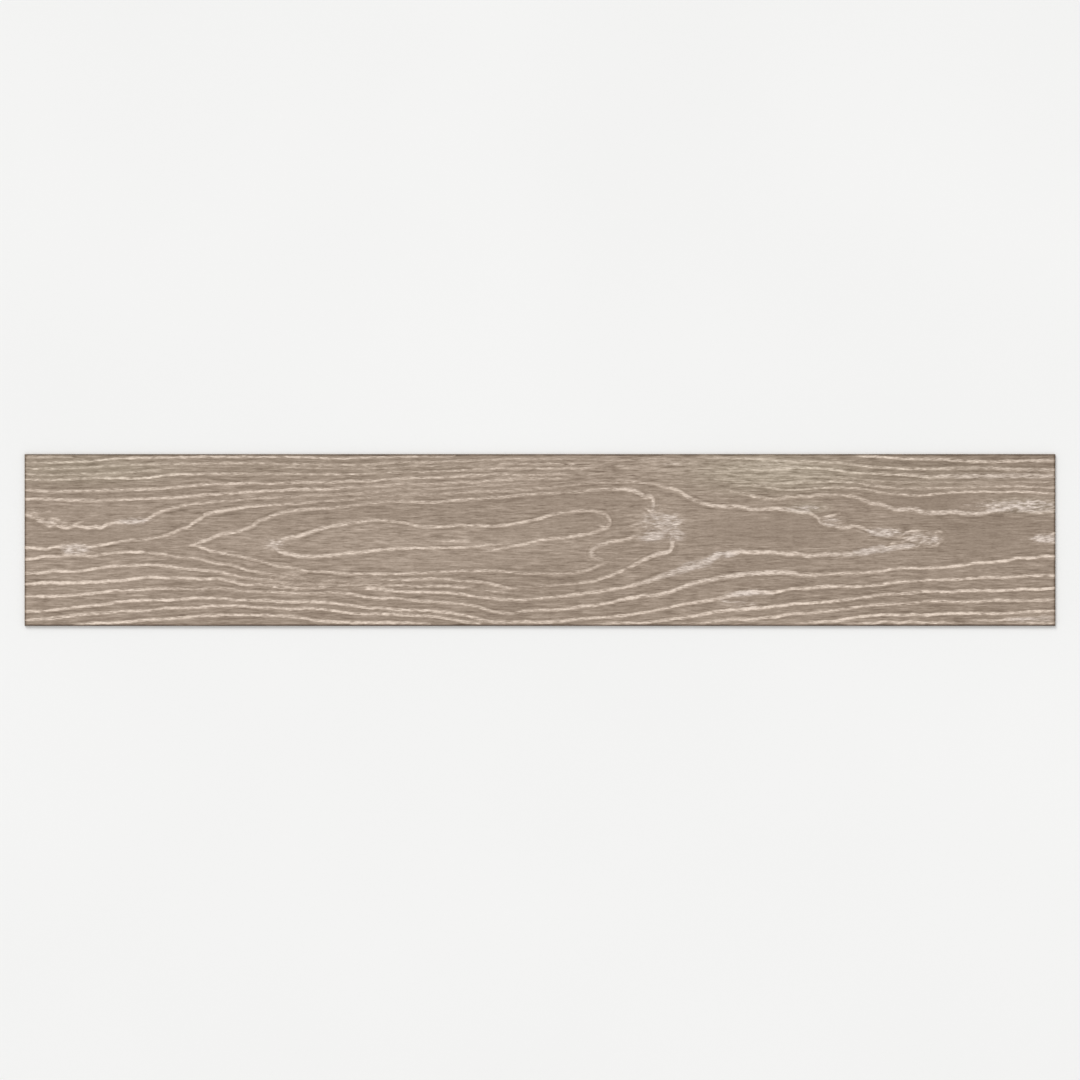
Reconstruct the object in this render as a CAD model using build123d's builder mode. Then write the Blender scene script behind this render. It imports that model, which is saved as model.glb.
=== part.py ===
"""Wood-look vinyl floor plank: one rectangular unit of resilient flooring.

A plank is calendered, pressed and die-cut as one sheet, so it is one solid.
Its four vertical edges are cut square, so that planks butt against each
other, and the four top edges carry a small pressed bevel, which makes the
fine V-groove seen between laid planks.

Frame: millimetres, +Z up. The origin is at the centre of the bonding face,
which lies on the floor. +X runs along the plank, with the grain, and +Y runs
across it. The wear face looks up.
"""

import os

from build123d import *

# Driving dimensions, in millimetres.
LENGTH = 914.4  # 36 inches, along the grain
WIDTH = 152.4  # 6 inches, across the grain
THICKNESS = 2.5  # bonding face to wear face
BEVEL_WIDTH = 0.7  # how far the bevel comes in across the wear face
BEVEL_DEPTH = 0.4  # how far the bevel goes down the cut edge

os.makedirs("parts", exist_ok=True)

# The plank: its outline is cut from the sheet, then the top edges are pressed
# to the bevel.
with BuildPart() as vinyl_plank:
    with BuildSketch(Plane.XY) as outline:
        Rectangle(LENGTH, WIDTH)
    extrude(amount=THICKNESS)
    wear_face = vinyl_plank.faces().sort_by(Axis.Z)[-1]
    chamfer(
        wear_face.edges(),
        length=BEVEL_WIDTH,
        length2=BEVEL_DEPTH,
        reference=wear_face,
    )

vinyl_plank.part.label = "vinyl_plank"
export_step(vinyl_plank.part, "parts/vinyl_plank.step")

solid = vinyl_plank.part.solids()[0]
box = solid.bounding_box()
print("solids", len(vinyl_plank.part.solids()), "faces", len(solid.faces()))
print("box", box.min, box.max)
print("volume mm3", round(solid.volume, 1))
top = vinyl_plank.faces().sort_by(Axis.Z)[-1]
print("wear face", top.bounding_box().size, "at z", round(top.center().Z, 3))
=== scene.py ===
"""Looks of a wood-look vinyl floor plank in pale limed oak.

The wear face carries a pressed relief in register with its print: each pale
growth-ring line is a shallow groove. Lines are given by control points in the
photograph's 1080 by 1080 pixels, where the plank reaches from (270, 450) to
(810, 540), with a weight along each line.
"""

import math

import bpy
import numpy as np
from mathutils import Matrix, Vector, kdtree


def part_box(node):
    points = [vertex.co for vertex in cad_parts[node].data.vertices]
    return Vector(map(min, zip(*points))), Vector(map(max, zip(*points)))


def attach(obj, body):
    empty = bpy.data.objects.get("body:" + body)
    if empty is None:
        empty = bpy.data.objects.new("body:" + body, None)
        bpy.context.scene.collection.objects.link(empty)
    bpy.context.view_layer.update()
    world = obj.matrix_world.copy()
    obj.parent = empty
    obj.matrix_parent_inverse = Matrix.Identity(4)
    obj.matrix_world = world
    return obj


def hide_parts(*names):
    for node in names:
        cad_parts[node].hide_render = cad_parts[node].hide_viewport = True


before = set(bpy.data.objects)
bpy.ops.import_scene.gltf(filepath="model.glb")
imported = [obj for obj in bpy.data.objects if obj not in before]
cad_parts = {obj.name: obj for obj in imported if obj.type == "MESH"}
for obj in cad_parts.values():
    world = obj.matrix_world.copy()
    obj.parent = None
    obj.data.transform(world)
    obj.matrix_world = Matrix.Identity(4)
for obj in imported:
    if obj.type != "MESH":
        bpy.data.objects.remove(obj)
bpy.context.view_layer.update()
lo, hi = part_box("vinyl_plank")

# ---------------------------------------------------------------- dimensions
MM = 0.001
PX = 0.9144 / 540.0  # metres in one pixel of the photograph
BEVEL_W, BEVEL_D = 0.7 * MM, 0.4 * MM
GROOVE = 0.13 * MM  # depth of the pressed ring grooves
TICK = 0.05 * MM  # depth of the pressed pores between them
NX, NY = 380, 240  # cells of the wear face, along and across the grain

# -------------------------------------------------------- the figure
# (name, control points in pixels, keys along the line). A key is x:weight, or
# x:weight:width where the line isn't of the usual width, and a short stroke has
# one weight. The two rings that close on themselves are keyed by the length
# from their start instead of by x.
RINGS = (
    (
        "A0",
        "270.5,451.3 300,451.5",
        "270:.2:.8 278:.45:.8 285:.4:.8 300:.2:.8",
    ),
    (
        "A",
        "270.5,454.5 300,453.9 320,452.3 345,451.7 405,451.5 420,451.7 430,452.3 450,451.7 "
        "495,451.1",
        "270:.35:.8 282:.6:.8 306:.7:.85 330:.65:.9 354:.75:.85 382:.65:.85 405:.6:.8 "
        "427:.7:.85 450:.6:.8 475:.5:.8 495:.3:.8",
    ),
    (
        "B",
        "270.5,457.5 280,457.7 300,457.1 320,455.8 345,455.2 390,454.6 415,455.3 450,455.3 "
        "460,454.6 490,454.0 530,452.5 560,452.5",
        "270:.4:.8 282:.5:.8 306:.35:.8 330:.4:.85 357:.41:.8 400:.41:.8 427:.35:.8 450:.4:.8 "
        "502:.33:.8 560:.29:.8",
    ),
    (
        "C",
        "270.5,460.5 280,460.8 295,460.5 328,459.2 345,457.5 450,457.4 462,457.1 472,456.3 "
        "494,456.3 515,455.3 565,455.2",
        "270:.45:.8 306:.35:.8 330:.35:.75 345:.15:.7 390:.08:.7 402:.18:.7 408:.34:.7 "
        "424:.34:.7 430:.12:.7 442:.22:.7 460:.3:.7 466:.2:.7 474:.34:.75 494:.34:.75 "
        "503:.15:.75 516:.28:.75 524:.36:.75 542:.36:.8 558:.42:.8 562:.15:.8",
    ),
    (
        "D",
        "270.5,463.3 290,463.3 300,462.7 310,462.5 335,462.3 343,461.1 360,460.5 400,460.3 "
        "450,460.3 462,459.6 495,458.7 512,457.6 550,457.6 568,457.3",
        "270:.45:.8 282:.55:.85 306:.55:.85 329:.9:.9 354:.8:.9 378:.42:.85 402:.42:.85 "
        "420:.5:.8 450:.4:.8 476:.28:.8 506:.45:.85 568:.5:.8",
    ),
    (
        "E",
        "270.5,468.8 280,469.3 310,468.9 350,467.3 355,466.7 370,465.7 410,465.0 420,464.6 "
        "430,464.9 440,463.9 450,464.1 463,463.0 490,462.1 520,460.5 530,461.0 550,460.3 "
        "560,460.8 572,459.8",
        "270:.5:.95 300:.55:.95 330:.55 354:.6 378:.7 402:.5:1.12 426:.5 480:.5 515:.5 "
        "535:.4:.9 552:.18:.85 558:.12:.85 572:.1",
    ),
    (
        "F",
        "270.5,473.5 285,473.5 295,474.1 340,473.1 350,472.7 360,471.5 370,471.1 390,469.7 "
        "420,468.3 430,468.3 450,466.7 460,466.3 470,465.5 480,465.7 500,464.8 520,463.5 "
        "542,462.8 555,462.7",
        "270:.6 290:.65 306:.38:1.1 327:.65 354:.7 378:.7 402:.6:1.2 426:.59:1.1 450:.26:1.1 "
        "498:.45 526:.4 555:.25",
    ),
    (
        "G",
        "270.5,481.5 272.4,482.5 275,483.3 277,484.7 279.5,485.4 282,485.5 285,486.3 "
        "287.4,487.5 290,488.4 293,488.4 296,487.8 300,488.1 303.6,488.6 307,488.1 "
        "310.5,488.4 312.6,487.1 316,486.2 322,485.7 328,485.5 331.9,485.0 338.1,481.7 "
        "341.9,480.0 352,477.1 363,475.7 420,471.7 430,471.4 440,470.6 447,470.3 465,468.5 "
        "487,468.1 524,465.7 540,465.5",
        "270:.6:1.1 276:.6:1.1 280:.9:1.1 283:.6 285:.9 291:.8:1.1 297:.7 303:.93:1.34 "
        "309:.68:1.34 314:.85:1.2 322:.8:1.3 330:.7:1.4 338:.7:1.2 348:.65:1.1 374:.35 "
        "401:.31 428:.27 455:.3 482:.15:.8 509:.25:.8 540:.25:.8",
    ),
    (
        "H",
        "270.5,498.9 275,499.2 279,499.5 281.4,499.8 284,498.9 288,498.3 292,498.3 298,497.9 "
        "301,497.9 304,498.8 308,497.9 313,497.1 322,495.4 327,495.1 347.9,491.1 351.9,489.2 "
        "355.9,488.0 357.9,486.3 362.9,483.3 364.9,481.7 367.9,480.8 371.9,480.0 397,476.7 "
        "414,475.9 419,475.2 440,473.8 464,471.4 484,471.1 508,469.5 520,469.3 582,464.5 "
        "590,464.5 596,465.3 607,467.5 614,470.0 616,471.5 620,473.7 624,475.3 628,476.4 "
        "638,477.5 642,477.3 651,478.7 668,478.8 676,480.2 680,480.5 683,481.7 685.6,483.5 "
        "687.4,485.9 690,486.9 694,487.7 698,488.5 702,488.2 704.6,487.5 708,488.3 "
        "711.4,489.5 715,491.1 720,492.1 728,492.1",
        "270:.95:1.1 279:.9 282:.8 287:1 292:.65:1.2 298:.7:1.2 304:.85 310:.95 316:.8 324:.4 "
        "332:.26:1.1 340:.5 350:.59:1.1 360:.66:1.21 375:.75:1.22 390:.62:1.1 405:.5 423:.45 "
        "447:.2 470:.2 498:.35 518:.4 545:.16:.9 566:.2 591:.35:1.1 606:.38:1.1 609.5:.65:1.2 "
        "612:.5:1.2 618:.56:1.37 635:.63:1.4 660:.7:1.3 670:.65:1.5 679:.63:1.4 685:.5:1.1 "
        "688:.68:1.2 695:.55:1.3 702:.55:1.4 705:.7:1.26 708:.55:1.3 711:.75:1.3 716:.47:1.8 "
        "722:.47:2 729:.38:1.6",
    ),
    (
        "I",
        "599.6,481.9 599.2,478.3 599.3,475.9 599.2,473.3 597.6,472.0 595,472.2 593,470.9 "
        "590,469.5 576,468.4 552,470.3 543,470.5 512,473.1 500,473.6 480,475.5 475,475.0 "
        "465,474.9 457,475.1 430,478.3 425,478.5 400,482.1 395.9,483.8 392.9,484.6 "
        "389.9,487.1 379.9,490.8 375,491.7 369.9,493.0 366,494.9 362,496.1 360.5,497.1 "
        "361.9,498.6 364.9,499.7 391.9,505.6 400,508.1 410,509.6 420,511.5 425,511.4 "
        "438,512.4 470,512.5 480,512.2 490,511.5 510,511.1 519,511.3 528,512.2 540,512.5 "
        "556,512.3 562,511.4 567,510.1 570,508.5 580,506.2",
        "0:.6:1.3 9:.5:1.3 14:.51:1.51 22:.7:1.47 33:.59:1.2 57:.24 81:.45 105:.55 129:.5 "
        "153:.3 177:.45:1.12 190:.5 205:.62:1.35 225:.55:1.26 238:.62:1.32 251:.71:1.3 273:.5 "
        "317:.45 339:.6:1.05 361:.55 405:.5 427:.4 449:.35 474:.35",
    ),
    (
        "J",
        "511,500.5 515,500.3 519,499.7 527,497.8 532,497.1 540,495.0 545,494.3 553,493.8 "
        "560,492.7 567,491.3 572,489.7 575.3,488.3 576.6,486.3 576.4,484.5 575,482.3 "
        "573,481.0 565,479.7 560,479.7 550,481.0 545,482.0 540,483.7 535,484.8 520,487.4 "
        "500,487.3 478.1,487.9 472.1,486.9 468,485.7 462,485.0 455,484.5 448,485.1 438,486.5 "
        "426.9,488.5 418,491.3 414.9,492.5 410,493.5 405.9,494.5 403,496.5 401.6,498.3 "
        "402.9,500.3 406,502.1 410.1,502.5 414,503.4 418,503.5 430,503.1 440,501.7 447,501.5 "
        "452,500.6 470,499.4 504,498.5 512,497.7 518,497.3 523,496.3",
        "0:.55 37:.53:1.16 70:.38:1.2 85:.4 110:.6:1.1 135:.63:1.12 160:.56:1.1 184:.42 "
        "221:.65:1.34 250:.75:1.4 262:.75:1.38 295:.73:1.21 320:.75 345:.6 375:.45",
    ),
    (
        "J_dash",
        "486,495.5 504,495.3",
        "486:.5 504:.5",
    ),
    (
        "J_hook",
        "569.5,487.1 572,487.7 575,488.8",
        "569:.35 575:.45",
    ),
    (
        "Lh",
        "574,505.5 570,504.4 567,502.5 567.9,499.6 574,496.8 578,495.7 583,495.2 587,494.3 "
        "589.5,492.8 592,493.7",
        "567:.4:1.6 573:.5:1.4 580:.6:1.2 592:.6:1.2",
    ),
    (
        "M",
        "608.7,490.9 609,494.5 609.1,498.3 608,500.5 605,501.8 600,503.0 596,504.7 584,510.7 "
        "572,515.3 568,516.5 562,517.4 534,519.1",
        "534:.2 545:.25 553:.3 561:.45 576:.6:1.1 591:.51:1.26 600:.8:1.5 606:.66:1.61 "
        "608.6:.6:1.4",
    ),
    (
        "N",
        "270.5,505.0 274,504.8 277,504.4 279.4,503.7 284,503.5 288,503.6 291.5,503.1 "
        "294,502.5 298,503.1 302,503.2 305,503.5 310,502.5 316,501.9 322,501.4 328,501.3 "
        "343,502.5 354,504.3 359,504.5 372,507.5 378,508.1 388,511.0 392,511.5 400,513.4 "
        "412,515.1 430,515.8 440,516.8 450,515.9 472,515.8 480,515.2 487,515.2 500,516.4 "
        "506,516.6 510,517.1 525,520.3 530,520.7",
        "270:.9 279:.9 284:.7 291:.65 298:.5 303:.55 310:.5 322:.75 330:.75:1.05 348:.36 "
        "373:.54:1.05 399:.4 424:.15 450:.15 476:.55 502:.45 519:.6 530:.5",
    ),
    (
        "O",
        "270.5,512.4 278,512.2 285,511.5 297,511.4 313,509.0 326,508.3 340,508.1 356,510.3 "
        "362,510.6 374,512.1 384,514.4 399,516.1 405,517.2 420,517.7 430,518.4",
        "270:.6 286:.95 302:.85 318:.7 330:.7 354:.65 378:.55 397:.35 430:.2",
    ),
    (
        "P",
        "270.5,518.1 278,517.5 295,517.4 326,515.5 333,514.6 340,514.4 346,515.2 352,514.8 "
        "363,515.4 374,515.6 379,516.7 384,518.3 388,518.5 393,518.3 398,518.6 401,519.3 "
        "408,519.6 412,520.3 420,520.0 440,518.5 450,518.4 470,518.8 478,519.3 487,518.9 "
        "506,520.3",
        "270:.7 276:1.06:1.2 293:1.06:1.2 306:.88:1.1 330:.91:1.22 354:.66:1.15 378:.7:1.05 "
        "396:.5 401:.75 406:.4 412:.6 418:.3 426:.3 450:.25 474:.6 496:.5 506:.4",
    ),
    (
        "Q",
        "270.5,524.5 288,524.4 305,523.1 318,521.4 325,521.4 337,520.6 344,520.5 358,520.8 "
        "377,520.5 382,521.4 388,521.9 408,522.6 415,523.3 434,522.4 440,523.2 450,525.0 "
        "455,525.4 462,525.4 482,527.3 490,527.5 497,528.2 502,528.8 517,532.7 521,533.4 "
        "526,533.4 530,532.5 540,531.6 546,531.7 552,531.4 562,529.7 568,529.3 573,528.5 "
        "590,524.9 602,523.5 607.9,522.1 615.9,519.1 636,514.5 646,513.1 658,512.1 663,511.9 "
        "673,512.6 678,513.4 683,513.5 688,512.9 706,512.3 718,511.3 730,509.7 736,509.8 "
        "762,508.1 768,507.1 780,506.3 786,505.5 790,504.5 800,504.3 804,503.5 809.5,503.4",
        "270:.55 279:.9 295:.69 324:.82 342:.6 354:.4 378:.35 402:.42 426:.42 436:.5 450:.7 "
        "474:.7 498:.52 521:.42:1.1 545:.65 570:.8 592:.85:1.3 616:.72:1.44 630:.68:1.54 "
        "644:.71:1.7 660:.74:1.65 680:.66:1.3 698:.62 720:.69 752:.85 782:.9 809:.87",
    ),
    (
        "R",
        "444,519.9 470,522.1 492,522.6 514,525.4 526,526.4 532,526.1 552,524.3 564,522.8 "
        "570,522.2 576,520.9 582,520.1 588,518.9 610,512.1 614,510.9 618,509.5 622,507.9 "
        "626.1,506.7 629,505.3 631.4,503.8 634,502.8 638,502.5 642,501.8 645,500.9 648,501.4 "
        "655,501.5 662,501.4 666,501.7 670,502.4 674,502.0 680,503.3 690,502.5 702,502.3 "
        "707,501.8 712,500.7 718,499.7 724,498.9 730,498.5 735,498.3 738.4,497.5",
        "444:.5 450:.6 458:.7 465:.7 473:.78 502:.7 532:.55 561:.69:1.1 590:.7:1.3 "
        "604:.55:1.9 614:.48:2.6 620:.53:2.8 627:.48:3 632:.8:2.3 638:.75:2.3 643:.8:1.8 "
        "648:.85:1.4 675:.75:1.3 690:.57:1.49 700:.6:1.6 708:.55:2.4 716:.6:2.6 724:.6:2.3 "
        "732:.7:1.7 738:.65:1.3",
    ),
    (
        "S",
        "270.5,532.4 278,532.1 286,531.5 300,529.7 313,528.5 320,527.3 326,526.7 350,526.2 "
        "355,525.6 368,525.4 374,525.6 380,526.3 398,526.7 405,527.3 424,527.4 428,527.7 "
        "445,529.8 450,530.6 457,530.7 463,531.3 478,531.8 490.1,532.8 500,534.4 520,538.3 "
        "532,537.7 540,538.0 552,537.3 558,536.5 578,535.2 590,533.7 602,531.5 614,528.9 "
        "636,525.1 640,524.0 652,522.3 663,522.4 670,520.8 682,520.2 688,519.5 710,519.2 "
        "722,517.7 754,515.6 762,515.5 770,514.7 786,514.4 794,513.8 809.5,513.6",
        "270:.65 282:.8 306:.85 330:.9 354:.84 378:.7 402:.55:1.1 426:.8 450:.75 485:.75 "
        "521:.54:1.15 545:.59:1.15 569:.8 593:.64 617:.85 632:.75:1.1 640:.75:1.8 648:.8:2.1 "
        "655:.85:1.8 661:.85:1.5 664:1:1.1 672:.8 690:.71:1.2 712:.75 736:.6 760:.65 784:.7 "
        "809:.7",
    ),
    (
        "V",
        "270.5,536.7 280,536.4 301.9,533.9 310,533.4 317,532.6 336,531.7 342,530.9 363,530.2 "
        "370,529.5 376,529.4 383,529.4 390,530.2 398,530.3 412,531.2 418,530.8 430.1,531.7 "
        "441,533.4 460,533.8 470,534.4 480,534.7 487,535.4 503,538.2 508,538.9",
        "270:.55 282:.62:1.3 293:.75:1.2 306:.75 330:.7 354:.66 378:.79 402:.75 426:.7 "
        "450:.65 474:.75 497:.6 508:.4",
    ),
    (
        "W",
        "296,539.4 304,538.6 318,538.3 332,537.0 340,536.6 362,534.8 393,534.4 415,535.7 "
        "425,537.4 440,538.2 474,538.5 482,538.9",
        "296:.3 308:1.15 332:.8 356:.7 380:.8 404:.7 428:.7:1.15 452:.95:1.15 470:.7 482:.3",
    ),
    (
        "X",
        "568,539.4 576,538.7 592,538.4 620,534.9 638,531.8 658,530.4 670,528.8 688,527.5 "
        "712,524.7 718,523.8 735,522.7 740,522.0 752,522.2 764,521.5 782,521.4 788,520.9 "
        "805,520.6 809.5,520.1",
        "568:.2 576:.6 591:.65 604:.65 628:.73:1.25 651:.9:1.3 675:1.05 699:.68 723:.65 "
        "747:.75 771:1 795:1 809:1.05",
    ),
    (
        "Y",
        "612,538.9 624,538.5 642,536.4 653,536.4 658,535.6 664,535.3 670,533.9 682,533.2 "
        "710,529.6 722,528.5 733,528.4 738,527.5 762,527.4 780,526.5 796,526.7 809.5,526.2",
        "612:.1 631:.5 648:.7:1.2 672:.75 696:.6 719:.6 743:.55 767:.8 791:.5:1.2 809:.36:1.2",
    ),
    (
        "Z",
        "672,539.3 688,537.7 694,537.5 704,535.6 720,534.2 731,534.4 737,533.9 743,534.4 "
        "748,533.8 754,533.5 785,533.4 803,532.2 809.5,532.2",
        "672:.1 684:.65 700:.95 720:.85 732:.75 756:1.01 780:.75 801:.75 809:.7",
    ),
    (
        "AA",
        "700,538.8 716,538.4 722,537.6 728,538.4 734,537.6 740,538.2 752,538.2 760,538.5",
        "700:.2 712:.6 736:.69 754:.5 760:.3",
    ),
    (
        "AA2",
        "764,537.3 772,536.9 780,537.0 786,536.5 793,536.4 800,535.8 809.5,535.6",
        "764:.4 777:.5 786:.75 799:.45 809:.4",
    ),
    (
        "AA3",
        "786,538.7 809.5,538.4",
        "786:.2 795:.5 809:.5",
    ),
    (
        "AC",
        "634,468.3 640,469.2 652,472.0 666,473.3 669,472.5 673,472.5 676,471.8 679,472.3 "
        "684,471.6 696,471.5 701,471.7 706,472.8 713,475.7 718,476.1 725,478.6 730,479.1 "
        "736,478.8 740,480.1 752,480.5 758,480.3 762,481.1 766,481.3 774,480.4 778,479.5 "
        "782,479.1 790,477.3 796,479.8 800,480.5 805,480.3 809.5,479.6",
        "634:.3 651:.45:1.2 670:.41:1.16 693:.41:1.16 717:.54:1.37 728:.6:1.6 736:.6:1.6 "
        "740:.59:1.78 754:.65:1.7 764:.57:1.72 774:.75:1.6 784:.75:1.6 790:.7:1.5 800:.55:1.4 "
        "809:.55:1.3",
    ),
    (
        "AC2",
        "768,478.3 772,477.3 777,476.4 791,474.7",
        "768:.4 778:.6 791:.4",
    ),
    (
        "U0",
        "706,451.0 720,451.6 728,452.3 752,452.9 760,453.5 809.5,453.3",
        "706:.3:.8 715:.85:.85 745:.65 765:.65 790:.65:1.05 809:.45:1.04",
    ),
    (
        "U1",
        "628,451.5 640,452.3 655,452.7 665,453.5 680,453.5 696,454.7 712,456.5 728,457.5 "
        "780,457.5 790,458.1 809.5,458.3",
        "628:.3:.85 645:.5:.85 664:.45:.85 688:.42:.85 712:.59:.8 735:.75:.95 760:.3:1.35 "
        "784:.44:1.4 809:.45:1.3",
    ),
    (
        "U2",
        "630,456.1 648,458.1 656,458.3 664,458.0 672,457.2 688,457.6 700,459.2 736,461.3 "
        "744,462.1 750,461.6 760,461.5 809.5,461.4",
        "630:.2:.85 645:.3:.85 666:.6:.85 690:.6:.85 714:.6:.85 737:.65:1.2 762:.48:1.8 "
        "786:.53:1.9 809:.57:1.5",
    ),
    (
        "U3",
        "630,459.7 650,461.2 690,461.8 700,462.3 720,464.3 728,464.5 809.5,464.7",
        "630:.2:.85 666:.25:.85 690:.25:.85 737:.3:.85 762:.3:.85 786:.1:.85 809:.3:.85",
    ),
    (
        "U4",
        "630,462.7 650,464.5 664,465.5 680,464.6 696,464.5 704,464.9 720,467.2 760,467.5 "
        "780,466.8 809.5,467.5",
        "630:.25:.85 647:.15:.85 666:.35:.85 690:.45:.85 714:.4:.85 737:.4:.85 773:.3:.85 "
        "791:.55:.85 809:.3:.85",
    ),
    (
        "U5",
        "640,465.9 650,466.4 668,468.5 676,468.5 690,467.5 704,467.8 712,468.6 720,470.3 "
        "728,471.1 741,471.5 748,470.7 772,469.7 780,469.9 790,469.6 809.5,470.8",
        "640:.4:.85 652:.45:.85 676:.4:.85 700:.45:.85 724:.4:.85 748:.65:.85 771:.65:.85 "
        "792:.7:.85 809:.55:.85",
    ),
    (
        "end_1",
        "796,495.3 800,493.7 803,493.3 806,492.6 809.5,491.5",
        ".8",
    ),
    (
        "end_2",
        "800,495.9 805,495.3 809.5,496.1",
        ".8",
    ),
    (
        "end_3",
        "803,494.3 809.5,493.9",
        ".7",
    ),
    (
        "tip_1",
        "395.5,498.1 402,497.9",
        ".5",
    ),
    (
        "tip_2",
        "398,496.3 403,496.1",
        ".45",
    ),
    (
        "tip_3",
        "397.5,499.6 402,499.7",
        ".4",
    ),
    (
        "tip_4",
        "355.5,497.9 361,497.6",
        ".5",
    ),
    (
        "knot_1",
        "596,478.7 597.5,479.9 599.5,480.5",
        ".6",
    ),
    (
        "knot_2",
        "598.8,481.5 599.4,483.3 601,483.4 604,482.6 607,482.8 609.4,483.1 611.4,481.9 "
        "614,480.9",
        "598:.5:1.2 604:.55:1.6 611:.6:1.5 614:.5",
    ),
    (
        "knot_3",
        "584,488.9 588,487.6 592,486.1 596,485.5 600,485.8",
        ".42",
    ),
    (
        "knot_4",
        "607.2,489.1 608.6,488.3 610.4,487.5 612.4,486.3 614.2,484.9 616.4,484.1",
        "607:.8:1.4 612:.75:1.5 616:.7:1.2",
    ),
    (
        "knot_5",
        "590.5,492.9 593,494.1 597,494.1 600,493.5 603,492.3 606,491.5 607.6,491.9",
        "590:.6 595:.7:2 600:.6:2.4 604:.5:2.6 608:.5:2",
    ),
    (
        "knot_6",
        "600,490.9 604,490.3 607.6,490.7",
        "600:.4:1.6 608:.4:1.6",
    ),
    (
        "knot_7",
        "609,491.9 612,491.1 614.4,491.5 615.8,492.9",
        "609:.5:1.8 616:.5:1.4",
    ),
    (
        "knot_8",
        "609.4,494.7 612,494.5 614,494.1 615.8,493.3",
        "609:.5:1.6 616:.5:1.6",
    ),
    (
        "knot_9",
        "599.8,486.9 602,486.3 604.6,486.5 607,487.5",
        "600:.45:1.5 607:.5:1.4",
    ),
    (
        "knot_10",
        "601.4,488.6 603.4,488.4 605.4,488.6",
        ".6",
    ),
    (
        "eye_1",
        "727.8,492.9 729.4,492.1 731.5,491.1 734,490.5 737,490.3 740.5,489.9",
        ".75",
    ),
    (
        "eye_2",
        "729.4,495.8 731.4,495.1 734,494.1 737,493.3 739,493.5",
        "729:.9 734:.85 739:.7",
    ),
    (
        "eye_3",
        "740,494.3 741.6,493.5 743.4,494.1",
        ".65",
    ),
    (
        "eye_4",
        "736,498.9 738.4,497.5 740,496.1 742.4,495.1",
        ".6",
    ),
    (
        "eye_5",
        "743.6,498.7 746,498.3 748.6,497.3 750.4,495.3",
        ".55",
    ),
    (
        "eye_6",
        "745,491.5 747.6,490.7 750,490.7 751,491.9",
        ".65",
    ),
    (
        "eye_7",
        "744,494.1 747,493.7 749.6,494.5",
        ".5",
    ),
    (
        "eye_8",
        "722,498.1 724.4,496.7 727.6,496.1",
        ".55",
    ),
    (
        "eye_9",
        "735.6,492.1 738.6,491.7 741.6,491.5",
        ".4",
    ),
    (
        "fork_1",
        "687,482.9 690,482.6 693,482.2 696.6,481.3",
        ".7",
    ),
    (
        "fork_2",
        "688,485.1 692,484.5 696.6,485.3 698,486.9",
        ".4",
    ),
    (
        "tail_1",
        "712,489.3 718,489.6 724,489.4 728.6,489.5",
        ".45",
    ),
    (
        "plait_1",
        "293.6,488.2 296,487.0 298.6,485.9 300,485.2",
        ".65",
    ),
    (
        "plait_2",
        "280.6,486.5 282.8,487.8 285.4,487.3 287,487.1",
        ".65",
    ),
    (
        "plait_3",
        "271.5,481.1 274,480.8 277.4,481.1",
        ".5",
    ),
    (
        "plait_4",
        "282,484.9 284.4,483.9 287.6,484.5 289.4,485.7",
        ".5",
    ),
    (
        "plait_5",
        "274.6,482.5 278,483.1 281,484.1",
        ".4",
    ),
    (
        "plait_6",
        "279,480.7 282,480.1 285.6,480.3",
        ".3",
    ),
    (
        "plait_7",
        "288.6,486.3 291,485.9 293,486.7",
        ".35",
    ),
    (
        "patch_1",
        "290.6,502.1 292,500.9 293.4,500.3 294.8,501.3",
        "290:.8:1.3 294:.9:1.5",
    ),
    (
        "patch_2",
        "296.8,500.1 299,499.7 301,500.3 303.4,500.7",
        "296:.8:1.3 303:.75:1.2",
    ),
    (
        "patch_3",
        "296,502.5 299,502.3 302,502.8 304,502.3",
        ".6",
    ),
    (
        "patch_4",
        "291,497.5 296,497.3 300,496.9",
        ".45",
    ),
    (
        "strand_1",
        "600,455.9 611,455.1 617,455.5",
        ".35",
    ),
    (
        "strand_2",
        "576,456.5 588,455.9 597,456.1",
        ".22",
    ),
    (
        "strand_3",
        "572,453.3 590,452.9 612,452.7",
        ".2",
    ),
    (
        "mid_1",
        "508,521.1 513,521.5 519,522.2 526,522.9",
        ".35",
    ),
    (
        "dash_1",
        "402,514.3 405,514.4 409,514.7",
        ".55",
    ),
    (
        "dash_2",
        "416,517.1 419,517.5 423,517.8",
        ".35",
    ),
    (
        "dash_3",
        "437,518.7 439,518.2 441,518.1",
        ".45",
    ),
    (
        "dash_4",
        "444,515.8 446.5,515.7 449,515.8",
        ".45",
    ),
    (
        "dash_5",
        "426,516.3 430,516.4 434,516.8",
        ".3",
    ),
    (
        "dash_6",
        "424,520.6 428,519.7 432,519.4",
        ".35",
    ),
    (
        "dash_7",
        "406,512.7 411,512.9 415,513.5",
        ".35",
    ),
    (
        "strand_4",
        "446,520.1 452,520.2 457,520.4 462,520.9",
        ".75",
    ),
    (
        "dash_8",
        "399.6,519.2 401.4,519.3 403.4,519.4",
        ".85",
    ),
    (
        "dash_9",
        "409.8,520.2 411.6,520.3 413.6,520.4",
        ".75",
    ),
    (
        "dash_10",
        "398.2,515.3 399.4,515.9 400.6,516.2",
        ".65",
    ),
    (
        "dash_11",
        "423.6,519.5 426,519.5 428.6,519.6",
        ".5",
    ),
    (
        "dash_12",
        "393.4,512.2 395,512.4 397,512.6",
        ".6",
    ),
)

BY_LENGTH = ("I", "J")

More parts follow.
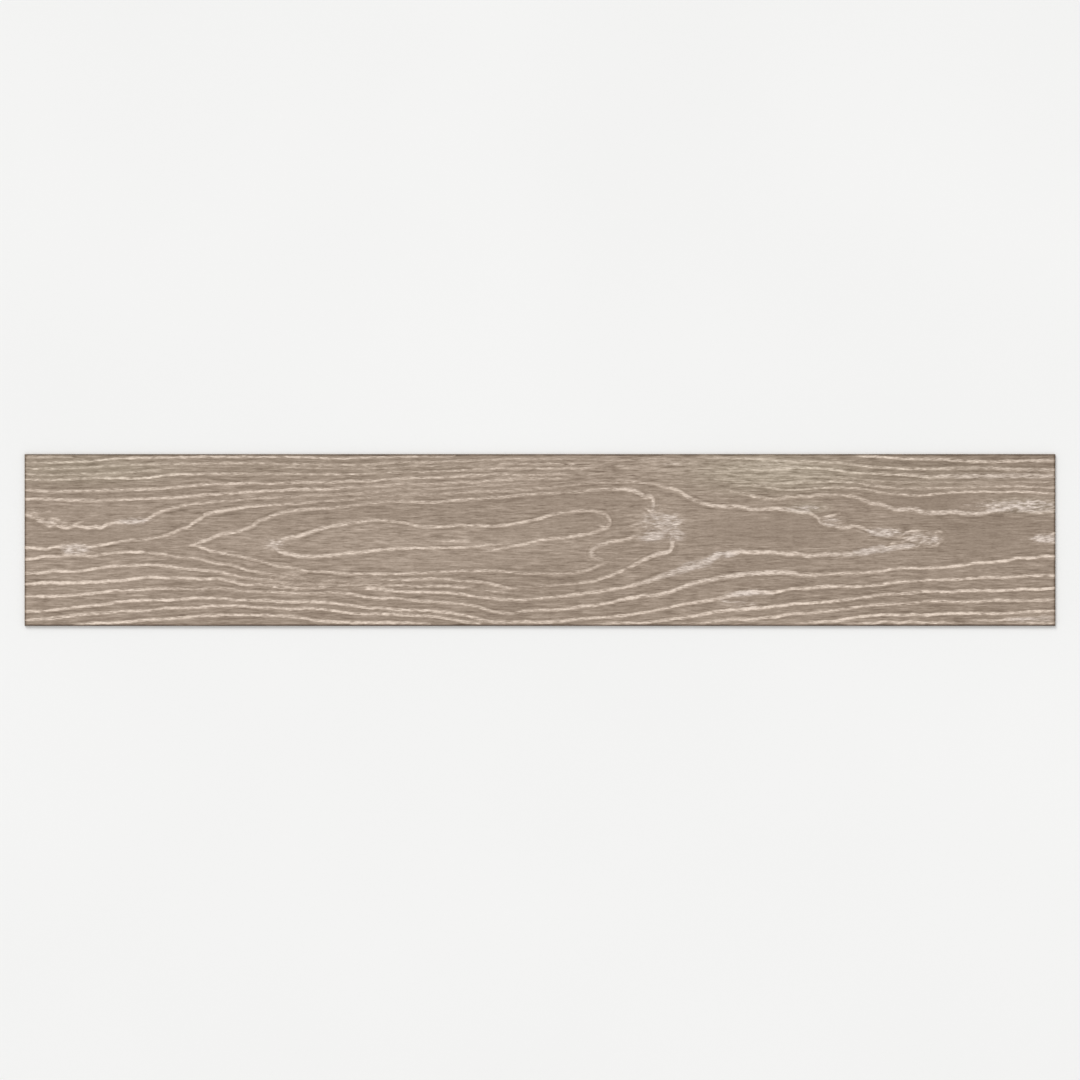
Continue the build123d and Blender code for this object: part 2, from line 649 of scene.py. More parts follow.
# Soft limed patches: centre, half axes in pixels, density.
HAZE = (
    (603, 488, 12, 7, 0.42),
    (597, 493.6, 5.5, 2.2, 0.4),
    (612, 493, 4.5, 2.6, 0.36),
    (606, 484, 8, 2.5, 0.25),
    (597, 482.5, 5, 3, 0.2),
    (600, 478, 4, 2.5, 0.18),
    (739, 494.4, 10.5, 4, 0.42),
    (747, 494.8, 3.4, 1.6, 0.3),
    (733, 498.4, 5, 1.2, 0.2),
    (715, 500.4, 10, 1.8, 0.35),
    (804.5, 494.2, 8, 2.6, 0.72),
    (297, 499.8, 8, 2.8, 0.6),
    (293, 501, 2, 1.2, 0.3),
    (284, 485.6, 7, 1.6, 0.2),
    (327, 485, 8, 1.8, 0.6),
    (622, 508, 9, 2.8, 0.34),
    (636, 503, 5, 2, 0.3),
    (788, 477, 22, 3.4, 0.52),
    (800, 476.4, 10, 3, 0.3),
    (648, 523, 10, 1.5, 0.25),
    (645, 528.4, 11, 2, 0.3),
    (636.5, 526.8, 3, 0.9, 0.25),
    (400, 497.2, 6, 3.4, 0.36),
    (680, 478.4, 9.5, 2, 0.5),
    (692.5, 485.2, 6, 2.8, 0.42),
    (720, 490.8, 10, 2.2, 0.68),
    (794, 536.6, 10, 1.4, 0.5),
    (806, 535.4, 6, 2.6, 0.32),
    (660, 455.5, 24, 3.2, 0.22),
    (610, 454.5, 14, 2.2, 0.2),
)

# Broad tone of the wood: centre, half axes, levels lighter or darker.
TONE = (
    (490, 494.5, 86, 9, 8),
    (305, 479, 42, 6, 6),
    (305, 493, 36, 5, -1),
    (664, 489, 38, 9, -8),
    (772, 492, 36, 13, -12),
    (742, 475, 26, 4.5, -10),
    (660, 459, 42, 9, 14),
    (600, 457, 32, 7, 2),
    (428, 517, 26, 6, -5),
    (550, 517, 16, 5, -6),
    (765, 457, 54, 8, -14),
    (430, 456, 110, 6, -3),
    (585, 499, 18, 4, -3),
    (618, 471, 22, 4, 5),
    (655, 506.5, 20, 2.5, -8),
    (380, 494, 22, 13, 4),
    (308, 511, 46, 14, 10),
    (745, 526, 56, 14, -4),
    (480, 535, 130, 6, -4),
    (645, 518, 22, 7, -4),
    (485, 507.5, 56, 4, 10),
    (380, 495.5, 16, 4, 4),
    (775, 493, 30, 8, 2),
    (520, 491.5, 24, 3.4, -4),
    (562, 473, 26, 5, -5),
    (310, 481.5, 24, 3, -5),
    (425, 475.5, 18, 3.5, -5),
    (478, 467, 40, 4, 6),
    (328, 457, 24, 6, 6),
    (332, 494, 18, 4, 4),
    (430, 536.5, 56, 2.6, 6),
    (632, 534, 34, 4, 5),
    (545, 536, 16, 3, 6),
    (748, 485, 16, 4, -5),
    (802, 461, 12, 5, -6),
    # dark gaps between the strands of the knot, the eye and the patches
    (597, 490.3, 3, 0.9, -14),
    (420, 521.4, 20, 0.6, -11),
    (416, 516.3, 8, 0.5, -9),
    (611.5, 489.7, 3, 0.8, -16),
    (615, 487, 1.6, 0.8, -10),
    (600.3, 485.4, 1.2, 0.5, -10),
    (612.4, 484, 1.6, 0.6, -8),
    (595, 483.8, 3, 1, -10),
    (611, 480.4, 3, 0.8, -10),
    (605.5, 494.8, 2, 1.2, -10),
    (733, 496.7, 3.2, 0.7, -18),
    (731, 489.4, 2.6, 0.8, -14),
    (723.5, 494.6, 4, 0.8, -14),
    (745.5, 496.6, 1.6, 0.6, -12),
    (694.5, 483.5, 2.2, 0.6, -16),
    (289.6, 500.6, 1.8, 0.8, -24),
    (296, 501.6, 0.8, 0.8, -18),
    (287.5, 502, 1.6, 0.6, -12),
)

# How streaky the plain wood is between the rings: centre, half axes, factor.
STREAK = (
    (662, 489, 40, 9, 0.5),
    (772, 494, 32, 10, 0.5),
    (742, 475, 27, 5, 0.2),
    (308, 493, 36, 5, 0.6),
    (302, 479, 42, 5, 0.95),
    (660, 460, 46, 11, 1.5),
    (430, 517, 28, 7, 1.3),
    (595, 457, 40, 7, 1.35),
    (490, 494, 85, 7, 1.15),
    (522, 491.5, 24, 3.6, 0.5),
    (562, 473, 26, 5, 0.6),
    (557, 486, 16, 5, 0.65),
    (485, 507.5, 50, 4, 0.85),
    (665, 508.6, 26, 2.6, 0.7),
    (570, 459, 34, 6, 1.2),
)

# A cooler, greener grey in the close-grained corners: centre, half axes, share.
COOL = (
    (660, 459, 44, 12, 1.0),
    (740, 460, 50, 9, 0.35),
    (415, 457, 120, 7, 0.2),
    (300, 458, 44, 9, 0.75),
    (680, 478, 10, 3, 0.7),
    (795, 477, 18, 4, 0.7),
)


def curve(points):
    """Smooth line through the control points, sampled every quarter pixel."""
    p = np.array(points, float)
    s = np.r_[0.0, np.cumsum(np.hypot(*np.diff(p, axis=0).T))]
    slope = np.gradient(p, s, axis=0)
    u = np.linspace(0.0, s[-1], max(int(s[-1] / 0.25), 4))
    k = np.clip(np.searchsorted(s, u, side="right") - 1, 0, len(s) - 2)
    h = (s[k + 1] - s[k])[:, None]
    t = (u - s[k])[:, None] / h
    q = (
        (2 * t**3 - 3 * t**2 + 1) * p[k]
        + (t**3 - 2 * t**2 + t) * h * slope[k]
        + (3 * t**2 - 2 * t**3) * p[k + 1]
        + (t**3 - t**2) * h * slope[k + 1]
    )
    return u, q


def ring_samples():
    """Points, side directions and weights along all the rings, in metres."""
    rng = np.random.default_rng(7)
    pos, side, weight, width, tag = [], [], [], [], []
    for number, (name, text, keys) in enumerate(RINGS):
        points = [tuple(map(float, w.split(","))) for w in text.split()]
        u, q = curve(points)
        key = [w.split(":") for w in keys.split()]
        key = [k if len(k) > 1 else ["0", *k] for k in key]
        key = np.array([(*map(float, k), 1.0)[:3] for k in key])
        station = u if name in BY_LENGTH else q[:, 0]
        w = np.interp(station, key[:, 0], key[:, 1])
        broad = np.interp(station, key[:, 0], key[:, 2])
        # a little unevenness of the grain, and soft ends inside the plank
        turn = np.gradient(q, axis=0)
        turn /= np.hypot(turn[:, 0], turn[:, 1])[:, None]
        out = np.stack([turn[:, 1], -turn[:, 0]], axis=1)
        sway = np.zeros(len(u))
        for length, amount in ((23.0, 0.04), (11.0, 0.04), (5.3, 0.03)):
            sway += amount * np.sin(u / length * 2 * np.pi + rng.uniform(0, 2 * np.pi))
        q = q + out * sway[:, None]
        for end, away in ((q[0], u), (q[-1], u[-1] - u)):
            if 271.5 < end[0] < 808.5 and 451.2 < end[1] < 538.8:
                reach = min(6.0, u[-1] * 0.35)
                w = w * np.clip(0.15 + 0.85 * away / reach, 0.0, 1.0)
        pos.append(np.stack([(q[:, 0] - 540) * PX, -(q[:, 1] - 495) * PX], axis=1))
        side.append(np.stack([out[:, 0], -out[:, 1]], axis=1))
        weight.append(w)
        width.append(broad)
        tag.append(np.full(len(u), rng.uniform(0, 40)))
    return (np.concatenate(a) for a in (pos, side, weight, width, tag))


def blobs(x, y, table, start=0.0, factor=False):
    """Adds soft ellipses, given in pixels, at points given in metres."""
    px, py = x / PX + 540, 495 - y / PX
    total = np.full(len(x), start)
    for cx, cy, rx, ry, amount in table:
        fall = np.exp(-(((px - cx) / rx) ** 2 + ((py - cy) / ry) ** 2) ** 1.4)
        total += fall * (amount - 1.0 if factor else amount)
    return total


def stretched_noise(x, y, sx, sy, seed):
    """Smooth value noise from 0 to 1 with cells of sx by sy metres."""
    rng = np.random.default_rng(seed)
    gx, gy = (x + 0.5) / sx, (y + 0.1) / sy
    i, j = np.floor(gx).astype(int), np.floor(gy).astype(int)
    table = rng.random((i.max() + 2, j.max() + 2))
    fx, fy = gx - i, gy - j
    fx, fy = fx * fx * (3 - 2 * fx), fy * fy * (3 - 2 * fy)
    return (table[i, j] * (1 - fx) + table[i + 1, j] * fx) * (1 - fy) + (
        table[i, j + 1] * (1 - fx) + table[i + 1, j + 1] * fx
    ) * fy


def ease(a, b, v):
    t = np.clip((v - a) / (b - a), 0.0, 1.0)
    return t * t * (3 - 2 * t)


# ------------------------------------------------------------------ the plank
def build_plank():
    top_z, rim_z, floor_z = hi.z, hi.z - BEVEL_D, lo.z
    xs = np.linspace(lo.x + BEVEL_W, hi.x - BEVEL_W, NX + 1)
    ys = np.linspace(lo.y + BEVEL_W, hi.y - BEVEL_W, NY + 1)
    gx, gy = (a.ravel() for a in np.meshgrid(xs, ys, indexing="ij"))

    # distance to the nearest ring, on which side of it, and its weight
    pos, side, weight, width, tag = ring_samples()
    tree = kdtree.KDTree(len(pos))
    for i, (a, b) in enumerate(pos):
        tree.insert((a, b, 0.0), i)
    tree.balance()
    near_i = np.array([tree.find((a, b, 0.0))[1] for a, b in zip(gx, gy)])
    away = np.stack([gx, gy], axis=1) - pos[near_i]
    near = np.hypot(away[:, 0], away[:, 1])
    across = (away * side[near_i]).sum(axis=1)
    amp, broad = weight[near_i], width[near_i]

    # relief: ring grooves, limed hollows and long pores, all pressed downwards
    haze = np.clip(blobs(gx, gy, HAZE), 0.0, 1.0)
    streak = np.clip(blobs(gx, gy, STREAK, 1.0, factor=True), 0.2, 1.8)
    band = 1.0 - ease(0.3 * MM, 1.9 * MM, near / broad)
    pore = stretched_noise(gx, gy, 17 * MM, 1.5 * MM, 3)
    fine = stretched_noise(gx, gy, 9 * MM, 1.2 * MM, 4)
    drop = GROOVE * np.sqrt(np.clip(amp, 0, 1)) * band * (0.75 + 0.5 * fine)
    drop += TICK * ease(0.62, 0.85, pore) * np.clip(streak, 0.3, 1.0)
    drop += 0.7 * GROOVE * haze * ease(0.35, 0.75, fine)
    rim = np.minimum.reduce([gx - xs[0], xs[-1] - gx, gy - ys[0], ys[-1] - gy])
    drop *= ease(0.0, 1.2 * MM, rim)  # the rim itself stays level
    gz = top_z - np.clip(drop, 0.0, 0.2 * MM)

    verts = list(zip(gx, gy, gz))
    count = NY + 1
    faces, kind, uvs = [], [], []

    def top_uv(x, y, right):
        u = (x if right else x - lo.x) / (hi.x - lo.x) * 2
        v = (y - lo.y) / (hi.y - lo.y)
        return 0.01 + 0.98 * u, (0.465 if right else 0.01) + 0.44 * v

    for i in range(NX):
        right = i >= NX // 2
        for j in range(NY):
            f = (i * count + j, (i + 1) * count + j, (i + 1) * count + j + 1, i * count + j + 1)
            faces.append(f)
            kind.append(0)
            uvs.append([top_uv(gx[k], gy[k], right) for k in f])

    # outline of the wear face, once round, anticlockwise from above
    loop = [i * count for i in range(NX)]
    loop += [NX * count + j for j in range(NY)]
    loop += [i * count + NY for i in range(NX, 0, -1)]
    loop += [j for j in range(NY, 0, -1)]
    corner = {0, NX, NX + NY, 2 * NX + NY}

    def outward(k):
        x, y, _ = verts[k]
        ox = lo.x if x < xs[0] + 1e-6 else hi.x if x > xs[-1] - 1e-6 else x
        oy = lo.y if y < ys[0] + 1e-6 else hi.y if y > ys[-1] - 1e-6 else y
        return ox, oy

    start = len(verts)
    for k in loop:
        verts.append((*outward(k), rim_z))
    n = len(loop)
    for a in range(n):
        b = (a + 1) % n
        f = (loop[a], start + a, start + b, loop[b])
        right = 0.5 * (verts[f[0]][0] + verts[f[3]][0]) > 0
        faces.append(f)
        kind.append(1)
        uvs.append([top_uv(verts[k][0], verts[k][1], right) for k in f])

    # cut sides: the fine rim fans down to a coarse outline, then the underside
    step_x, step_y = 10, 10
    keep = [a for a in range(n) if a in corner or (
        (a < NX and a % step_x == 0)
        or (NX <= a < NX + NY and (a - NX) % step_y == 0)
        or (NX + NY <= a < 2 * NX + NY and (a - NX - NY) % step_x == 0)
        or (a >= 2 * NX + NY and (a - 2 * NX - NY) % step_y == 0)
    )]
    low = len(verts)
    for a in keep:
        x, y, _ = verts[start + a]
        verts.append((x, y, floor_z))

    side_rows = ((0.62, 0.922), (0.62, 0.940), (0.62, 0.958), (0.82, 0.958))

    def side_uv(k, wall):
        x, y, z = verts[k]
        u0, v0 = side_rows[wall]
        if wall in (0, 1):
            along = (x - lo.x) / (hi.x - lo.x) * 0.36
        else:
            along = (y - lo.y) / (hi.y - lo.y) * 0.15
        return u0 + along, v0 + 0.012 * (z - lo.z) / (rim_z - lo.z)

    for c, a in enumerate(keep):
        d = (c + 1) % len(keep)
        b = keep[d] if d else n
        wall = 0 if a < NX else 2 if a < NX + NY else 1 if a < 2 * NX + NY else 3
        mid = (a + b) // 2
        tris = [(start + k % n, low + c, start + (k + 1) % n) for k in range(a, mid)]
        tris.append((start + mid % n, low + c, low + d))
        tris += [(start + k % n, low + d, start + (k + 1) % n) for k in range(mid, b)]
        for f in tris:
            faces.append(f)
            kind.append(2)
            uvs.append([side_uv(k, wall) for k in f])

    # underside: a coarse grid that meets that outline
    cols, rows = NX // step_x, NY // step_y
    edge = {}
    for c, a in enumerate(keep):
        x, y, _ = verts[low + c]
        edge[(round(x, 6), round(y, 6))] = low + c
    bx = [verts[start + a][0] for a in keep if a <= NX][: cols + 1]
    by = [verts[start + a][1] for a in keep if NX <= a <= NX + NY][: rows + 1]
    grid = {}
    for i, x in enumerate(bx):
        for j, y in enumerate(by):
            key = (round(x, 6), round(y, 6))
            if key in edge:
                grid[i, j] = edge[key]
            else:
                grid[i, j] = len(verts)
                verts.append((x, y, floor_z))
    for i in range(cols):
        for j in range(rows):
            f = (grid[i, j], grid[i, j + 1], grid[i + 1, j + 1], grid[i + 1, j])
            faces.append(f)
            kind.append(3)
            uvs.append(
                [
                    (
                        0.01 + 0.58 * (verts[k][0] - lo.x) / (hi.x - lo.x),
                        0.918 + 0.072 * (verts[k][1] - lo.y) / (hi.y - lo.y),
                    )
                    for k in f
                ]
            )

    mesh = bpy.data.meshes.new("plank_wear_layer")
    mesh.from_pydata(verts, [], faces)
    layer = mesh.uv_layers.new(name="OFBake")
    layer.data.foreach_set("uv", np.array([c for f in uvs for c in f], "f").ravel())
    mesh.polygons.foreach_set("material_index", np.array(kind, "i"))
    mesh.polygons.foreach_set("use_smooth", np.array([k == 0 for k in kind]))

    # fields that the print reads, in millimetres where they are lengths
    total = len(verts)
    vx = np.array([v[0] for v in verts])
    vy = np.array([v[1] for v in verts])
    src = np.arange(total)
    src[start : start + n] = loop
    src[low:] = 0
    fields = {
        "across": across / MM,
        "near": near / MM,
        "weight": amp,
        "broad": broad,
        "tag": tag[near_i],
        "haze": haze,
        "streak": streak,
        "tone": blobs(gx, gy, TONE),
        "cool": np.clip(blobs(gx, gy, COOL), 0.0, 1.0),
    }
    for name, values in fields.items():
        data = mesh.attributes.new(name, "FLOAT", "POINT")
        data.data.foreach_set("value", values[src].astype("f"))
    rim_mm = np.minimum.reduce([vx - lo.x, hi.x - vx, vy - lo.y, hi.y - vy]) / MM
    data = mesh.attributes.new("rim", "FLOAT", "POINT")
    data.data.foreach_set("value", rim_mm.astype("f"))
    mesh.validate()
    mesh.update()
    return mesh


# ------------------------------------------------------------------ materials
class Nodes:
    """Short hand for laying out a shader's nodes."""

    def __init__(self, name):
        self.mat = bpy.data.materials.new(name)
        self.mat.use_nodes = True
        self.tree = self.mat.node_tree
        self.tree.nodes.clear()
        self.out = self.add("ShaderNodeOutputMaterial")
        self.shader = self.add("ShaderNodeBsdfPrincipled")
        self.tree.links.new(self.shader.outputs[0], self.out.inputs[0])
        self.object = self.add("ShaderNodeTexCoord").outputs["Object"]

    def add(self, kind, **settings):
        node = self.tree.nodes.new(kind)
        for key, value in settings.items():
            setattr(node, key, value)
        return node

    def put(self, socket, value):
        if isinstance(value, bpy.types.NodeSocket):
            self.tree.links.new(value, socket)
        else:
            socket.default_value = value

    def math(self, op, a, b=0.0, c=0.0, clamp=False):
        node = self.add("ShaderNodeMath", operation=op, use_clamp=clamp)
        for socket, value in zip(node.inputs, (a, b, c)):
            self.put(socket, value)
        return node.outputs[0]

    def field(self, name):
        return self.add("ShaderNodeAttribute", attribute_name=name).outputs["Fac"]

    def ramp01(self, value, a, b, to_a=0.0, to_b=1.0, smooth=True):
        node = self.add("ShaderNodeMapRange", interpolation_type="SMOOTHSTEP" if smooth else "LINEAR")
        for socket, v in zip(node.inputs, (value, a, b, to_a, to_b)):
            self.put(socket, v)
        return node.outputs[0]

    def noise(self, vector, cell_x, cell_y, detail=2.0, rough=0.5, shift=(0.0, 0.0)):
        """Noise with cells of the given size in millimetres."""
        mapping = self.add("ShaderNodeMapping")
        self.put(mapping.inputs["Vector"], vector)
        mapping.inputs["Scale"].default_value = (1000.0 / cell_x, 1000.0 / cell_y, 0.0)
        mapping.inputs["Location"].default_value = (shift[0], shift[1], 0.0)
        node = self.add("ShaderNodeTexNoise", noise_dimensions="2D")
        self.put(node.inputs["Vector"], mapping.outputs[0])
        node.inputs["Scale"].default_value = 1.0
        node.inputs["Detail"].default_value = detail
        node.inputs["Roughness"].default_value = rough
        return node.outputs["Fac"]

    def join(self, x, y):
        node = self.add("ShaderNodeCombineXYZ")
        self.put(node.inputs[0], x)
        self.put(node.inputs[1], y)
        return node.outputs[0]

    def swing(self, value, amount):
        """A noise value turned to plus or minus the given amount."""
        return self.math("MULTIPLY", self.math("SUBTRACT", value, 0.5), amount * 2.0)

    def ramp(self, value, stops):
        node = self.add("ShaderNodeValToRGB")
        ramp = node.color_ramp
        while len(ramp.elements) < len(stops):
            ramp.elements.new(0.5)
        for element, (at, colour) in zip(ramp.elements, stops):
            element.position = at
            element.color = (*[linear(c) for c in colour], 1.0)
        self.put(node.inputs[0], value)
        return node.outputs[0]


def linear(level):
    c = level / 255.0
    return c / 12.92 if c <= 0.04045 else ((c + 0.055) / 1.055) ** 2.4


# The print runs through one warm grey-brown scale, dark pores to limed white.
# Position is a lightness level over 255; colour is what the level looks like.
LEVELS = (70, 110, 135, 150, 170, 195, 215, 235)
WARM = tuple((v / 255.0, (v + 14.0, v - 3.6, v - 19.7)) for v in LEVELS)
COOL_GREY = tuple((v / 255.0, (v + 12.0, v - 2.4, v - 20.6)) for v in LEVELS)
LIMED = tuple((v / 255.0, (v + 11.5, v - 3.2, v - 15.0)) for v in LEVELS)


def wear_material(name, bevel):
    g = Nodes(name)
    split = g.add("ShaderNodeSeparateXYZ")
    g.put(split.inputs[0], g.object)
    x = split.outputs[0]
    across, near, weight = g.field("across"), g.field("near"), g.field("weight")
    streak, haze, rim = g.field("streak"), g.field("haze"), g.field("rim")
    broad = g.field("broad")

    # a coordinate that follows the rings, in metres, for streaks that bend with them
    along_ring = g.join(x, g.math("ADD", g.math("MULTIPLY", across, 0.001), g.field("tag")))

    # fibre streaks, straight ones and ones that follow the rings
    wide = g.noise(g.object, 48.0, 5.0, 2.0, 0.55)
    thin = g.noise(g.object, 17.0, 1.9, 2.0, 0.5, (3.7, 1.3))
    bent = g.noise(along_ring, 26.0, 2.2, 2.0, 0.5)
    hair = g.noise(g.object, 7.0, 0.6, 1.0, 0.5, (9.1, 4.2))
    grit = g.noise(g.object, 2.8, 1.2, 2.0, 0.55)
    slow = g.noise(g.object, 150.0, 24.0, 2.0, 0.5, (1.9, 7.7))

    # ring lines, a little ragged, because the limed pores lie along the fibre
    rag = g.noise(g.object, 9.0, 1.4, 2.0, 0.55, (5.5, 2.2))
    off = g.math("ABSOLUTE", g.math("ADD", across, g.swing(rag, 0.65)))
    off = g.math("DIVIDE", off, broad)
    past_end = g.math("SUBTRACT", near, g.math("ABSOLUTE", across))
    true_line = g.ramp01(past_end, 0.9, 1.6, 1.0, 0.0)
    beside = g.ramp01(past_end, 0.8, 3.0, 1.0, 0.0)
    body = g.ramp01(off, 0.3, 1.9, 1.0, 0.0)
    patchy = g.ramp01(g.noise(g.object, 10.0, 5.0, 2.0, 0.6, (2.5, 8.5)), 0.3, 0.7, 0.72, 1.28)
    ring = g.math("MULTIPLY", g.math("MULTIPLY", body, true_line), g.math("MULTIPLY", weight, patchy))
    cloud = g.math("MULTIPLY", haze, g.ramp01(g.noise(g.object, 8.0, 1.9, 2.0, 0.6, (6.1, 3.3)), 0.36, 0.66, 0.2, 1.3))
    density = g.math("MAXIMUM", ring, cloud)
    dash = g.noise(g.object, 7.0, 0.6, 2.0, 0.5, (0.4, 6.6))
    half_way = g.math("MULTIPLY", density, g.math("SUBTRACT", 1.15, density))
    lime = g.math("MULTIPLY_ADD", half_way, g.swing(dash, 3.6), density, clamp=True)

    # lightness of the wood, in levels of 255: darkest just beside a ring line
    flank = g.math("MULTIPLY", g.ramp01(near, 1.1, 2.3), g.ramp01(near, 2.9, 5.6, 1.0, 0.0))
    flank = g.math("MULTIPLY", flank, g.math("MULTIPLY_ADD", weight, -7.0, -1.0))
    flank = g.math("MULTIPLY", flank, beside)
    wood = g.math("ADD", 144.0, g.field("tone"))
    wood = g.math("ADD", wood, flank)
    wood = g.math("ADD", wood, g.swing(slow, 8.0))
    follow = g.math("MULTIPLY", beside, g.ramp01(near, 3.0, 8.0, 20.0, 0.0))
    follow = g.math("MULTIPLY", g.math("MULTIPLY_ADD", bent, 2.0, -1.0), follow)
    lines = g.math("ADD", g.swing(wide, 12.0), g.math("ADD", g.swing(thin, 26.0), follow))
    lines = g.math("ADD", lines, g.swing(hair, 14.0))
    vein = g.ramp01(g.noise(g.object, 16.0, 1.2, 1.0, 0.5, (8.2, 0.7)), 0.57, 0.73, 0.0, -18.0)
    fleck = g.ramp01(g.noise(g.object, 20.0, 1.3, 1.0, 0.5, (4.4, 9.3)), 0.58, 0.74, 0.0, 14.0)
    lines = g.math("ADD", lines, g.math("ADD", vein, fleck))
    wood = g.math("ADD", wood, g.math("MULTIPLY", lines, streak))
    wood = g.math("ADD", wood, g.swing(grit, 11.0))
    # sparse dark pores
    pore = g.ramp01(g.noise(g.object, 8.0, 0.5, 1.0, 0.5, (7.3, 5.1)), 0.66, 0.76, 0.0, -22.0)
    wood = g.math("ADD", wood, pore)
    lime_level = g.math("ADD", 216.5, g.math("ADD", g.swing(hair, 22.0), g.swing(grit, 28.0)))
    level = g.math("MULTIPLY_ADD", g.math("SUBTRACT", lime_level, wood), lime, wood)
    # darker bevel pigment plus painted shade of the joint's V-groove, in the bevel and just inside it
    edge = g.ramp01(rim, 0.5, 2.1, 1.0, 0.0)
    level = g.math("SUBTRACT", level, g.math("MULTIPLY", edge, 50.0))
    # more painted V-groove shade on the bevel faces, deepest at the outer edge, on top of their pigment
    if bevel:
        level = g.math("SUBTRACT", level, g.ramp01(rim, 0.0, 0.7, 22.0, 6.0))
    level = g.math("DIVIDE", level, 255.0)

    tint = g.add("ShaderNodeMix", data_type="RGBA")
    g.put(tint.inputs["Factor"], g.field("cool"))
    g.put(tint.inputs[6], g.ramp(level, WARM))
    g.put(tint.inputs[7], g.ramp(level, COOL_GREY))
    chalk = g.math("MULTIPLY_ADD", g.math("SUBTRACT", broad, 1.2), 0.6, g.math("MULTIPLY", haze, 2.0), clamp=True)
    limed = g.add("ShaderNodeMix", data_type="RGBA")
    g.put(limed.inputs["Factor"], g.math("MULTIPLY", chalk, g.ramp01(lime, 0.0, 0.5)))
    g.put(limed.inputs[6], tint.outputs[2])
    g.put(limed.inputs[7], g.ramp(level, LIMED))
    g.put(g.shader.inputs["Base Color"], limed.outputs[2])

    # satin wear layer: a little drier in the limed grooves
    rough = g.math("MULTIPLY_ADD", lime, 0.12, 0.44)
    rough = g.math("ADD", rough, g.swing(thin, 0.07))
    g.put(g.shader.inputs["Roughness"], rough)
    g.shader.inputs["IOR"].default_value = 1.46

    # fine pressed grain on top of the modelled relief
    height = g.math("MULTIPLY_ADD", hair, 0.45, g.math("MULTIPLY", thin, 0.5))
    height = g.math("ADD", height, g.math("MULTIPLY", lime, -0.55))
    height = g.math("ADD", height, g.math("MULTIPLY", pore, 0.03))
    height = g.math("ADD", height, g.math("MULTIPLY", grit, 0.25))
    bump = g.add("ShaderNodeBump")
    bump.inputs["Strength"].default_value = 0.5
    bump.inputs["Distance"].default_value = 0.06 * MM
    g.put(bump.inputs["Height"], height)
    g.put(g.shader.inputs["Normal"], bump.outputs[0])
    return g.mat


def cut_material():
    """The die-cut side: filled vinyl, drawn out by the blade."""
    g = Nodes("vinyl_cut_edge")
    speck = g.noise(g.object, 1.6, 1.6, 3.0, 0.6)
    split = g.add("ShaderNodeSeparateXYZ")
    g.put(split.inputs[0], g.object)
    run = g.math("ADD", split.outputs[0], split.outputs[1])
    drag = g.noise(g.join(run, split.outputs[2]), 2.2, 9.0, 2.0, 0.5)
    level = g.math("ADD", 116.0, g.math("ADD", g.swing(speck, 14.0), g.swing(drag, 16.0)))
    g.put(g.shader.inputs["Base Color"], g.ramp(g.math("DIVIDE", level, 255.0), WARM))
    g.put(g.shader.inputs["Roughness"], g.ramp01(speck, 0.3, 0.7, 0.55, 0.72))
    bump = g.add("ShaderNodeBump")
    bump.inputs["Strength"].default_value = 0.4
    bump.inputs["Distance"].default_value = 0.05 * MM
    g.put(bump.inputs["Height"], g.math("ADD", drag, speck))
    g.put(g.shader.inputs["Normal"], bump.outputs[0])
    return g.mat


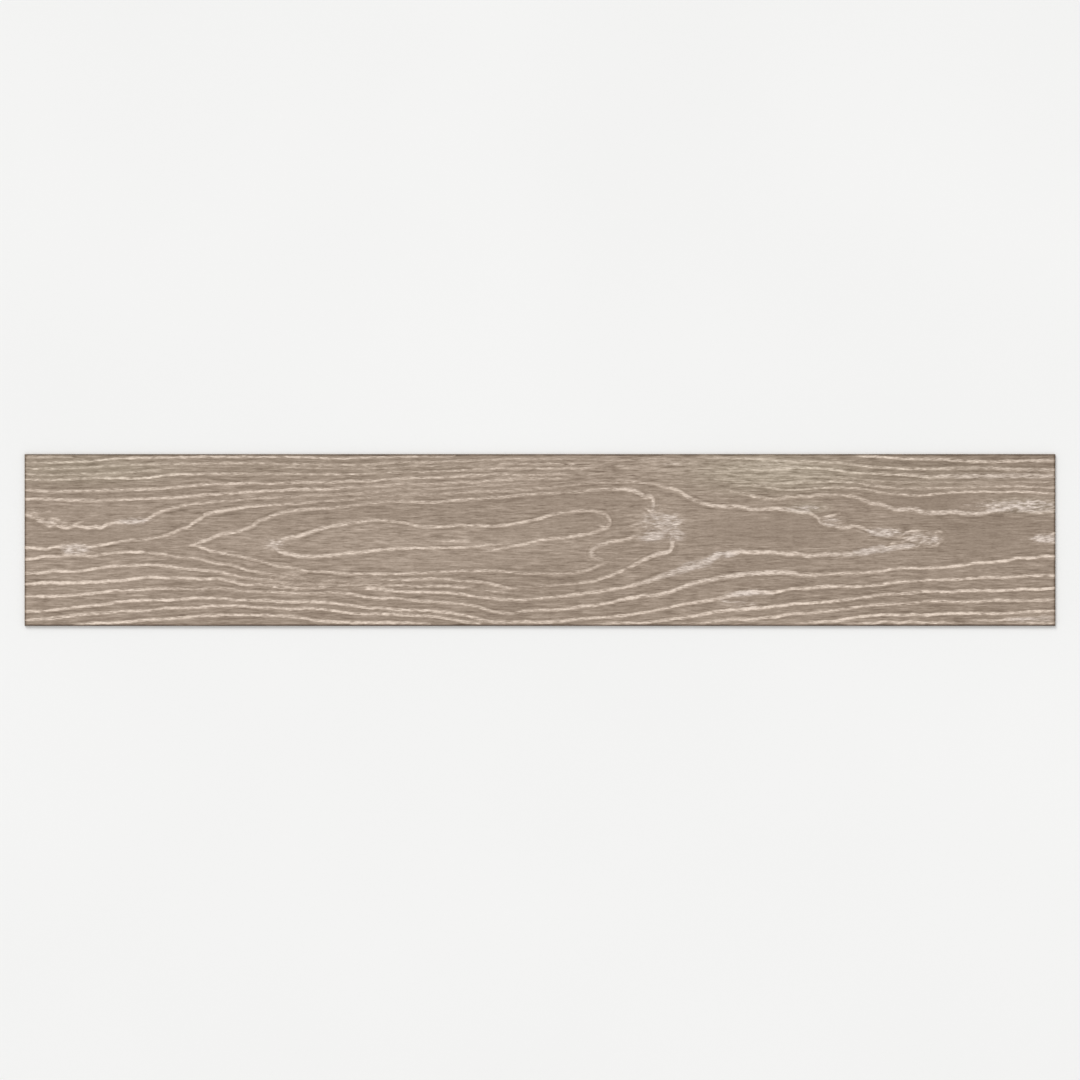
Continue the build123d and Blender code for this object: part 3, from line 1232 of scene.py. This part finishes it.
def back_material():
    """The bonding face: plain filled vinyl with a fine buffed grain."""
    g = Nodes("vinyl_backing")
    fine = g.noise(g.object, 1.1, 1.1, 3.0, 0.6)
    broad = g.noise(g.object, 55.0, 55.0, 3.0, 0.5, (4.0, 2.0))
    buffed = g.noise(g.object, 30.0, 0.9, 2.0, 0.5)
    level = g.math("ADD", 122.0, g.math("ADD", g.swing(fine, 12.0), g.swing(broad, 10.0)))
    level = g.math("ADD", level, g.swing(buffed, 8.0))
    g.put(g.shader.inputs["Base Color"], g.ramp(g.math("DIVIDE", level, 255.0), WARM))
    g.put(g.shader.inputs["Roughness"], g.ramp01(fine, 0.3, 0.7, 0.62, 0.78))
    bump = g.add("ShaderNodeBump")
    bump.inputs["Strength"].default_value = 0.5
    bump.inputs["Distance"].default_value = 0.08 * MM
    g.put(bump.inputs["Height"], g.math("ADD", fine, g.math("MULTIPLY", buffed, 0.6)))
    g.put(g.shader.inputs["Normal"], bump.outputs[0])
    return g.mat


plank = bpy.data.objects.new("plank_wood_print", build_plank())
bpy.context.scene.collection.objects.link(plank)
for material in (
    wear_material("vinyl_wear_print", False),
    # the bevel slot: the print with darker pigment and painted V-groove shade
    wear_material("vinyl_bevel_print_and_shade", True),
    cut_material(),
    back_material(),
):
    plank.data.materials.append(material)
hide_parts("vinyl_plank")
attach(plank, "root")

# ---------------------------------------------------- floor, light and camera
half = 20.0
floor_mesh = bpy.data.meshes.new("studio_floor")
floor_mesh.from_pydata(
    [(-half, -half, -0.0002), (half, -half, -0.0002), (half, half, -0.0002), (-half, half, -0.0002)],
    [],
    [(0, 1, 2, 3)],
)
floor = bpy.data.objects.new("studio_floor", floor_mesh)
bpy.context.scene.collection.objects.link(floor)
g = Nodes("studio_floor_matte")
paper = g.noise(g.object, 400.0, 400.0, 2.0, 0.5)
g.put(g.shader.inputs["Base Color"], g.ramp(paper, ((0.3, (243, 243, 242)), (0.7, (245, 245, 244)))))
g.shader.inputs["Roughness"].default_value = 0.9
floor_mesh.materials.append(g.mat)

scene = bpy.context.scene
scene.view_settings.view_transform = "Standard"
world = bpy.data.worlds.new("studio")
world.use_nodes = True
back = world.node_tree.nodes["Background"]
back.inputs["Color"].default_value = (1.0, 1.0, 1.0, 1.0)
back.inputs["Strength"].default_value = 0.7
scene.world = world

# one large soft source, high on the left of the picture
light = bpy.data.lights.new("soft_key", "SUN")
light.energy, light.angle = 1.55, math.radians(30.0)
lamp = bpy.data.objects.new("soft_key", light)
lamp.rotation_euler = Vector((0.38, -0.74, -0.62)).to_track_quat("-Z", "Y").to_euler()
scene.collection.objects.link(lamp)

camera = bpy.data.cameras.new("straight_down")
camera.lens, camera.sensor_width = 150.0, 36.0
FRAME_WIDTH = 0.958  # metres across the picture, at the wear face
eye = bpy.data.objects.new("straight_down", camera)
eye.location = (0.0, 0.0, hi.z + FRAME_WIDTH / camera.sensor_width * camera.lens)
scene.collection.objects.link(eye)
scene.camera = eye
